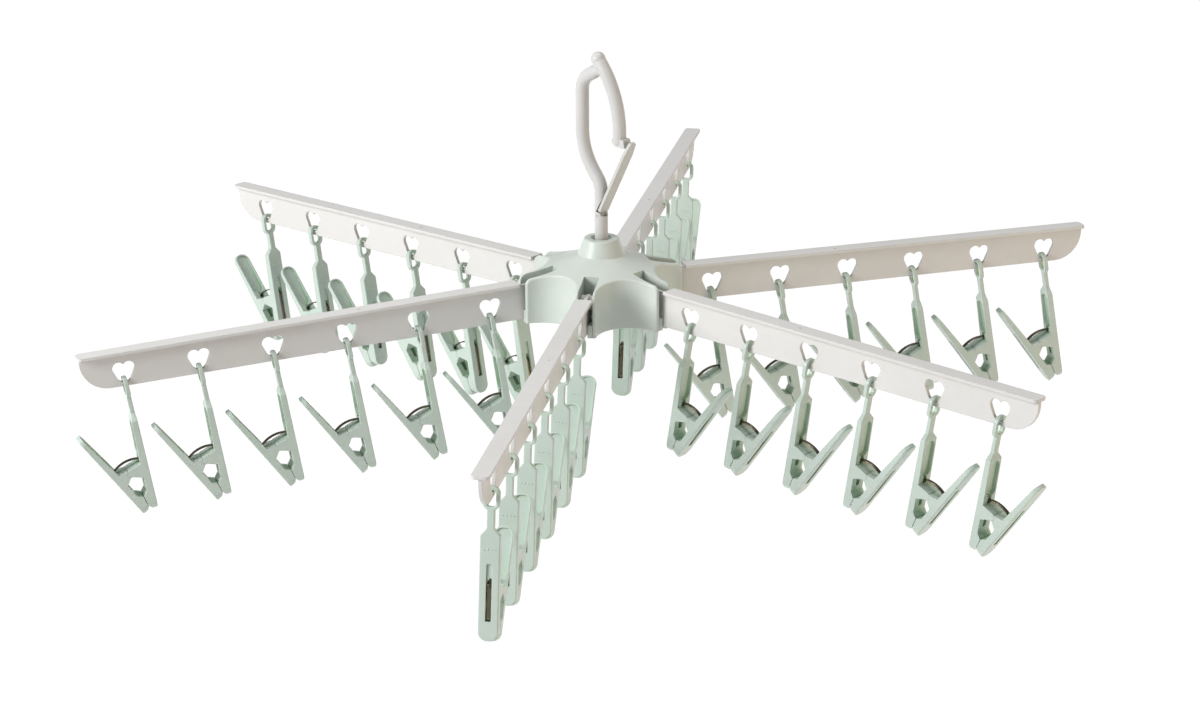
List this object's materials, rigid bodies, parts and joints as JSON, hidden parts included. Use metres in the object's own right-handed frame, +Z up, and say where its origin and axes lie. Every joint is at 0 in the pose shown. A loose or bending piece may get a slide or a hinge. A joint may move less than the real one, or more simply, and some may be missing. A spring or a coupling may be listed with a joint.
{
  "type": "hanging folding clip dryer",
  "caption": "Hanging laundry rack: a swivel snap hook carries a domed hub with folding T-section arms, and sprung clips hang from heart-shaped holes in the arms.",
  "frame": {"origin": "the seat inside the top of the hook, on the swivel axis, where the rail or line bears", "axes": "+Z up along the swivel axis, +X out along arm 1, the arms counted counter-clockwise from above"},
  "size_m": [0.6564, 0.5754, 0.2603],
  "materials": {
    "arm_white": "satin",
    "hub_sage": "satin",
    "clip_green": "satin",
    "hook_grey": "satin",
    "gate_grey": "satin",
    "steel": "brushed",
    "spring_steel": "bright"
  },
  "bodies": {
    "hook": {"hook": "hook_grey", "hook_fasteners": "steel"},
    "gate": {"hook_gate": "gate_grey"},
    "hub": {"hub_shell": "hub_sage", "hub_base": "hub_sage", "arm_pins": "steel"},
    "arm_1": {"arm_1": "arm_white"},
    "arm_2": {"arm_2": "arm_white"},
    "arm_3": {"arm_3": "arm_white"},
    "arm_4": {"arm_4": "arm_white"},
    "arm_5": {"arm_5": "arm_white"},
    "arm_6": {"arm_6": "arm_white"},
    "clips_1": {"clip_legs_1": "clip_green", "clip_springs_1": "spring_steel"},
    "clips_2": {"clip_legs_2": "clip_green", "clip_springs_2": "spring_steel"},
    "clips_3": {"clip_legs_3": "clip_green", "clip_springs_3": "spring_steel"},
    "clips_4": {"clip_legs_4": "clip_green", "clip_springs_4": "spring_steel"},
    "clips_5": {"clip_legs_5": "clip_green", "clip_springs_5": "spring_steel"},
    "clips_6": {"clip_legs_6": "clip_green", "clip_springs_6": "spring_steel"},
    "lever_1_1": {"clip_lever_1_1": "clip_green"},
    "lever_1_2": {"clip_lever_1_2": "clip_green"},
    "lever_1_3": {"clip_lever_1_3": "clip_green"},
    "lever_1_4": {"clip_lever_1_4": "clip_green"},
    "lever_1_5": {"clip_lever_1_5": "clip_green"},
    "lever_1_6": {"clip_lever_1_6": "clip_green"},
    "lever_2_1": {"clip_lever_2_1": "clip_green"},
    "lever_2_2": {"clip_lever_2_2": "clip_green"},
    "lever_2_3": {"clip_lever_2_3": "clip_green"},
    "lever_2_4": {"clip_lever_2_4": "clip_green"},
    "lever_2_5": {"clip_lever_2_5": "clip_green"},
    "lever_2_6": {"clip_lever_2_6": "clip_green"},
    "lever_3_1": {"clip_lever_3_1": "clip_green"},
    "lever_3_2": {"clip_lever_3_2": "clip_green"},
    "lever_3_3": {"clip_lever_3_3": "clip_green"},
    "lever_3_4": {"clip_lever_3_4": "clip_green"},
    "lever_3_5": {"clip_lever_3_5": "clip_green"},
    "lever_3_6": {"clip_lever_3_6": "clip_green"},
    "lever_4_1": {"clip_lever_4_1": "clip_green"},
    "lever_4_2": {"clip_lever_4_2": "clip_green"},
    "lever_4_3": {"clip_lever_4_3": "clip_green"},
    "lever_4_4": {"clip_lever_4_4": "clip_green"},
    "lever_4_5": {"clip_lever_4_5": "clip_green"},
    "lever_4_6": {"clip_lever_4_6": "clip_green"},
    "lever_5_1": {"clip_lever_5_1": "clip_green"},
    "lever_5_2": {"clip_lever_5_2": "clip_green"},
    "lever_5_3": {"clip_lever_5_3": "clip_green"},
    "lever_5_4": {"clip_lever_5_4": "clip_green"},
    "lever_5_5": {"clip_lever_5_5": "clip_green"},
    "lever_5_6": {"clip_lever_5_6": "clip_green"},
    "lever_6_1": {"clip_lever_6_1": "clip_green"},
    "lever_6_2": {"clip_lever_6_2": "clip_green"},
    "lever_6_3": {"clip_lever_6_3": "clip_green"},
    "lever_6_4": {"clip_lever_6_4": "clip_green"},
    "lever_6_5": {"clip_lever_6_5": "clip_green"},
    "lever_6_6": {"clip_lever_6_6": "clip_green"}
  },
  "joints": [
    {"name": "hub_swivel", "type": "hinge", "parent": "hook", "child": "hub", "pos_m": [0, 0, -0.115], "axis": [0, 0, 1], "continuous": true},
    {"name": "gate_hinge", "type": "hinge", "parent": "hook", "child": "gate", "pos_m": [0, 0, -0.088], "axis": [-0.866, -0.5, 0], "range_deg": [-38, 0], "stiffness_Nm_per_rad": 0.01, "springref_deg": 28.65},
    {"name": "arm_1_fold", "type": "hinge", "parent": "hub", "child": "arm_1", "pos_m": [0.04, 0, -0.132], "axis": [0, -1, 0], "range_deg": [0, 90]},
    {"name": "arm_2_fold", "type": "hinge", "parent": "hub", "child": "arm_2", "pos_m": [0.02, 0.03464, -0.132], "axis": [0.866, -0.5, 0], "range_deg": [0, 90]},
    {"name": "arm_3_fold", "type": "hinge", "parent": "hub", "child": "arm_3", "pos_m": [-0.02, 0.03464, -0.132], "axis": [0.866, 0.5, 0], "range_deg": [0, 90]},
    {"name": "arm_4_fold", "type": "hinge", "parent": "hub", "child": "arm_4", "pos_m": [-0.04, 0, -0.132], "axis": [0, 1, 0], "range_deg": [0, 90]},
    {"name": "arm_5_fold", "type": "hinge", "parent": "hub", "child": "arm_5", "pos_m": [-0.02, -0.03464, -0.132], "axis": [-0.866, 0.5, 0], "range_deg": [0, 90]},
    {"name": "arm_6_fold", "type": "hinge", "parent": "hub", "child": "arm_6", "pos_m": [0.02, -0.03464, -0.132], "axis": [-0.866, -0.5, 0], "range_deg": [0, 90]},
    {"name": "clips_1_swing", "type": "hinge", "parent": "arm_1", "child": "clips_1", "pos_m": [0.07243, 0, -0.14537], "axis": [1, 0, -0.0052], "range_deg": [-20, 20]},
    {"name": "clips_2_swing", "type": "hinge", "parent": "arm_2", "child": "clips_2", "pos_m": [0.03634, 0.06294, -0.14474], "axis": [0.5, 0.8659, 0.014], "range_deg": [-20, 20]},
    {"name": "clips_3_swing", "type": "hinge", "parent": "arm_3", "child": "clips_3", "pos_m": [-0.03613, 0.06258, -0.14577], "axis": [-0.4999, 0.8659, -0.0175], "range_deg": [-20, 20]},
    {"name": "clips_4_swing", "type": "hinge", "parent": "arm_4", "child": "clips_4", "pos_m": [-0.07158, 0, -0.14727], "axis": [-0.9979, 0, -0.0645], "range_deg": [-20, 20]},
    {"name": "clips_5_swing", "type": "hinge", "parent": "arm_5", "child": "clips_5", "pos_m": [-0.03597, -0.06231, -0.14649], "axis": [-0.4996, -0.8653, -0.0401], "range_deg": [-20, 20]},
    {"name": "clips_6_swing", "type": "hinge", "parent": "arm_6", "child": "clips_6", "pos_m": [0.03611, -0.06254, -0.14588], "axis": [0.4999, -0.8658, -0.0209], "range_deg": [-20, 20]},
    {"name": "lever_1_1_hinge", "type": "hinge", "parent": "clips_1", "child": "lever_1_1", "pos_m": [0.07269, 0, -0.20219], "axis": [0, 1, 0], "range_deg": [0, 25], "stiffness_Nm_per_rad": 0.1, "springref_deg": -51.57, "deforming": ["clip_springs_1"]},
    {"name": "lever_1_2_hinge", "type": "hinge", "parent": "clips_1", "child": "lever_1_2", "pos_m": [0.11818, 0, -0.20243], "axis": [0, 1, 0], "range_deg": [0, 25], "stiffness_Nm_per_rad": 0.1, "springref_deg": -51.57, "deforming": ["clip_springs_1"]},
    {"name": "lever_1_3_hinge", "type": "hinge", "parent": "clips_1", "child": "lever_1_3", "pos_m": [0.16368, 0, -0.20267], "axis": [0, 1, 0], "range_deg": [0, 25], "stiffness_Nm_per_rad": 0.1, "springref_deg": -51.57, "deforming": ["clip_springs_1"]},
    {"name": "lever_1_4_hinge", "type": "hinge", "parent": "clips_1", "child": "lever_1_4", "pos_m": [0.20918, 0, -0.2029], "axis": [0, 1, 0], "range_deg": [0, 25], "stiffness_Nm_per_rad": 0.1, "springref_deg": -51.57, "deforming": ["clip_springs_1"]},
    {"name": "lever_1_5_hinge", "type": "hinge", "parent": "clips_1", "child": "lever_1_5", "pos_m": [0.25468, 0, -0.20314], "axis": [0, 1, 0], "range_deg": [0, 25], "stiffness_Nm_per_rad": 0.1, "springref_deg": -51.57, "deforming": ["clip_springs_1"]},
    {"name": "lever_1_6_hinge", "type": "hinge", "parent": "clips_1", "child": "lever_1_6", "pos_m": [0.30018, 0, -0.20338], "axis": [0, 1, 0], "range_deg": [0, 25], "stiffness_Nm_per_rad": 0.1, "springref_deg": -51.57, "deforming": ["clip_springs_1"]},
    {"name": "lever_2_1_hinge", "type": "hinge", "parent": "clips_2", "child": "lever_2_1", "pos_m": [0.03621, 0.06272, -0.20156], "axis": [0.866, -0.5, 0], "range_deg": [0, 25], "stiffness_Nm_per_rad": 0.1, "springref_deg": -51.57, "deforming": ["clip_springs_2"]},
    {"name": "lever_2_2_hinge", "type": "hinge", "parent": "clips_2", "child": "lever_2_2", "pos_m": [0.05896, 0.10212, -0.20093], "axis": [0.866, -0.5, 0], "range_deg": [0, 25], "stiffness_Nm_per_rad": 0.1, "springref_deg": -51.57, "deforming": ["clip_springs_2"]},
    {"name": "lever_2_3_hinge", "type": "hinge", "parent": "clips_2", "child": "lever_2_3", "pos_m": [0.08171, 0.14152, -0.20029], "axis": [0.866, -0.5, 0], "range_deg": [0, 25], "stiffness_Nm_per_rad": 0.1, "springref_deg": -51.57, "deforming": ["clip_springs_2"]},
    {"name": "lever_2_4_hinge", "type": "hinge", "parent": "clips_2", "child": "lever_2_4", "pos_m": [0.10446, 0.18092, -0.19966], "axis": [0.866, -0.5, 0], "range_deg": [0, 25], "stiffness_Nm_per_rad": 0.1, "springref_deg": -51.57, "deforming": ["clip_springs_2"]},
    {"name": "lever_2_5_hinge", "type": "hinge", "parent": "clips_2", "child": "lever_2_5", "pos_m": [0.1272, 0.22032, -0.19902], "axis": [0.866, -0.5, 0], "range_deg": [0, 25], "stiffness_Nm_per_rad": 0.1, "springref_deg": -51.57, "deforming": ["clip_springs_2"]},
    {"name": "lever_2_6_hinge", "type": "hinge", "parent": "clips_2", "child": "lever_2_6", "pos_m": [0.14995, 0.25972, -0.19839], "axis": [0.866, -0.5, 0], "range_deg": [0, 25], "stiffness_Nm_per_rad": 0.1, "springref_deg": -51.57, "deforming": ["clip_springs_2"]},
    {"name": "lever_3_1_hinge", "type": "hinge", "parent": "clips_3", "child": "lever_3_1", "pos_m": [-0.036, 0.06236, -0.20258], "axis": [0.866, 0.5, 0], "range_deg": [0, 25], "stiffness_Nm_per_rad": 0.1, "springref_deg": -51.57, "deforming": ["clip_springs_3"]},
    {"name": "lever_3_2_hinge", "type": "hinge", "parent": "clips_3", "child": "lever_3_2", "pos_m": [-0.05875, 0.10176, -0.20338], "axis": [0.866, 0.5, 0], "range_deg": [0, 25], "stiffness_Nm_per_rad": 0.1, "springref_deg": -51.57, "deforming": ["clip_springs_3"]},
    {"name": "lever_3_3_hinge", "type": "hinge", "parent": "clips_3", "child": "lever_3_3", "pos_m": [-0.0815, 0.14116, -0.20417], "axis": [0.866, 0.5, 0], "range_deg": [0, 25], "stiffness_Nm_per_rad": 0.1, "springref_deg": -51.57, "deforming": ["clip_springs_3"]},
    {"name": "lever_3_4_hinge", "type": "hinge", "parent": "clips_3", "child": "lever_3_4", "pos_m": [-0.10424, 0.18056, -0.20497], "axis": [0.866, 0.5, 0], "range_deg": [0, 25], "stiffness_Nm_per_rad": 0.1, "springref_deg": -51.57, "deforming": ["clip_springs_3"]},
    {"name": "lever_3_5_hinge", "type": "hinge", "parent": "clips_3", "child": "lever_3_5", "pos_m": [-0.12699, 0.21995, -0.20576], "axis": [0.866, 0.5, 0], "range_deg": [0, 25], "stiffness_Nm_per_rad": 0.1, "springref_deg": -51.57, "deforming": ["clip_springs_3"]},
    {"name": "lever_3_6_hinge", "type": "hinge", "parent": "clips_3", "child": "lever_3_6", "pos_m": [-0.14974, 0.25935, -0.20655], "axis": [0.866, 0.5, 0], "range_deg": [0, 25], "stiffness_Nm_per_rad": 0.1, "springref_deg": -51.57, "deforming": ["clip_springs_3"]},
    {"name": "lever_4_1_hinge", "type": "hinge", "parent": "clips_4", "child": "lever_4_1", "pos_m": [-0.07133, 0, -0.20409], "axis": [0, 1, 0], "range_deg": [0, 25], "stiffness_Nm_per_rad": 0.1, "springref_deg": -51.57, "deforming": ["clip_springs_4"]},
    {"name": "lever_4_2_hinge", "type": "hinge", "parent": "clips_4", "child": "lever_4_2", "pos_m": [-0.11673, 0, -0.20702], "axis": [0, 1, 0], "range_deg": [0, 25], "stiffness_Nm_per_rad": 0.1, "springref_deg": -51.57, "deforming": ["clip_springs_4"]},
    {"name": "lever_4_3_hinge", "type": "hinge", "parent": "clips_4", "child": "lever_4_3", "pos_m": [-0.16214, 0, -0.20996], "axis": [0, 1, 0], "range_deg": [0, 25], "stiffness_Nm_per_rad": 0.1, "springref_deg": -51.57, "deforming": ["clip_springs_4"]},
    {"name": "lever_4_4_hinge", "type": "hinge", "parent": "clips_4", "child": "lever_4_4", "pos_m": [-0.20754, 0, -0.2129], "axis": [0, 1, 0], "range_deg": [0, 25], "stiffness_Nm_per_rad": 0.1, "springref_deg": -51.57, "deforming": ["clip_springs_4"]},
    {"name": "lever_4_5_hinge", "type": "hinge", "parent": "clips_4", "child": "lever_4_5", "pos_m": [-0.25295, 0, -0.21583], "axis": [0, 1, 0], "range_deg": [0, 25], "stiffness_Nm_per_rad": 0.1, "springref_deg": -51.57, "deforming": ["clip_springs_4"]},
    {"name": "lever_4_6_hinge", "type": "hinge", "parent": "clips_4", "child": "lever_4_6", "pos_m": [-0.29835, 0, -0.21877], "axis": [0, 1, 0], "range_deg": [0, 25], "stiffness_Nm_per_rad": 0.1, "springref_deg": -51.57, "deforming": ["clip_springs_4"]},
    {"name": "lever_5_1_hinge", "type": "hinge", "parent": "clips_5", "child": "lever_5_1", "pos_m": [-0.0361, -0.06253, -0.20331], "axis": [0.866, -0.5, 0], "range_deg": [0, 25], "stiffness_Nm_per_rad": 0.1, "springref_deg": -51.57, "deforming": ["clip_springs_5"]},
    {"name": "lever_5_2_hinge", "type": "hinge", "parent": "clips_5", "child": "lever_5_2", "pos_m": [-0.05883, -0.1019, -0.20514], "axis": [0.866, -0.5, 0], "range_deg": [0, 25], "stiffness_Nm_per_rad": 0.1, "springref_deg": -51.57, "deforming": ["clip_springs_5"]},
    {"name": "lever_5_3_hinge", "type": "hinge", "parent": "clips_5", "child": "lever_5_3", "pos_m": [-0.08156, -0.14127, -0.20696], "axis": [0.866, -0.5, 0], "range_deg": [0, 25], "stiffness_Nm_per_rad": 0.1, "springref_deg": -51.57, "deforming": ["clip_springs_5"]},
    {"name": "lever_5_4_hinge", "type": "hinge", "parent": "clips_5", "child": "lever_5_4", "pos_m": [-0.10429, -0.18064, -0.20879], "axis": [0.866, -0.5, 0], "range_deg": [0, 25], "stiffness_Nm_per_rad": 0.1, "springref_deg": -51.57, "deforming": ["clip_springs_5"]},
    {"name": "lever_5_5_hinge", "type": "hinge", "parent": "clips_5", "child": "lever_5_5", "pos_m": [-0.12703, -0.22002, -0.21062], "axis": [0.866, -0.5, 0], "range_deg": [0, 25], "stiffness_Nm_per_rad": 0.1, "springref_deg": -51.57, "deforming": ["clip_springs_5"]},
    {"name": "lever_5_6_hinge", "type": "hinge", "parent": "clips_5", "child": "lever_5_6", "pos_m": [-0.14976, -0.25939, -0.21244], "axis": [0.866, -0.5, 0], "range_deg": [0, 25], "stiffness_Nm_per_rad": 0.1, "springref_deg": -51.57, "deforming": ["clip_springs_5"]},
    {"name": "lever_6_1_hinge", "type": "hinge", "parent": "clips_6", "child": "lever_6_1", "pos_m": [0.03598, -0.06232, -0.2027], "axis": [-0.866, -0.5, 0], "range_deg": [0, 25], "stiffness_Nm_per_rad": 0.1, "springref_deg": -51.57, "deforming": ["clip_springs_6"]},
    {"name": "lever_6_2_hinge", "type": "hinge", "parent": "clips_6", "child": "lever_6_2", "pos_m": [0.05873, -0.10172, -0.20365], "axis": [-0.866, -0.5, 0], "range_deg": [0, 25], "stiffness_Nm_per_rad": 0.1, "springref_deg": -51.57, "deforming": ["clip_springs_6"]},
    {"name": "lever_6_3_hinge", "type": "hinge", "parent": "clips_6", "child": "lever_6_3", "pos_m": [0.08147, -0.14111, -0.2046], "axis": [-0.866, -0.5, 0], "range_deg": [0, 25], "stiffness_Nm_per_rad": 0.1, "springref_deg": -51.57, "deforming": ["clip_springs_6"]},
    {"name": "lever_6_4_hinge", "type": "hinge", "parent": "clips_6", "child": "lever_6_4", "pos_m": [0.10422, -0.18051, -0.20556], "axis": [-0.866, -0.5, 0], "range_deg": [0, 25], "stiffness_Nm_per_rad": 0.1, "springref_deg": -51.57, "deforming": ["clip_springs_6"]},
    {"name": "lever_6_5_hinge", "type": "hinge", "parent": "clips_6", "child": "lever_6_5", "pos_m": [0.12696, -0.2199, -0.20651], "axis": [-0.866, -0.5, 0], "range_deg": [0, 25], "stiffness_Nm_per_rad": 0.1, "springref_deg": -51.57, "deforming": ["clip_springs_6"]},
    {"name": "lever_6_6_hinge", "type": "hinge", "parent": "clips_6", "child": "lever_6_6", "pos_m": [0.14971, -0.2593, -0.20746], "axis": [-0.866, -0.5, 0], "range_deg": [0, 25], "stiffness_Nm_per_rad": 0.1, "springref_deg": -51.57, "deforming": ["clip_springs_6"]}
  ]
}
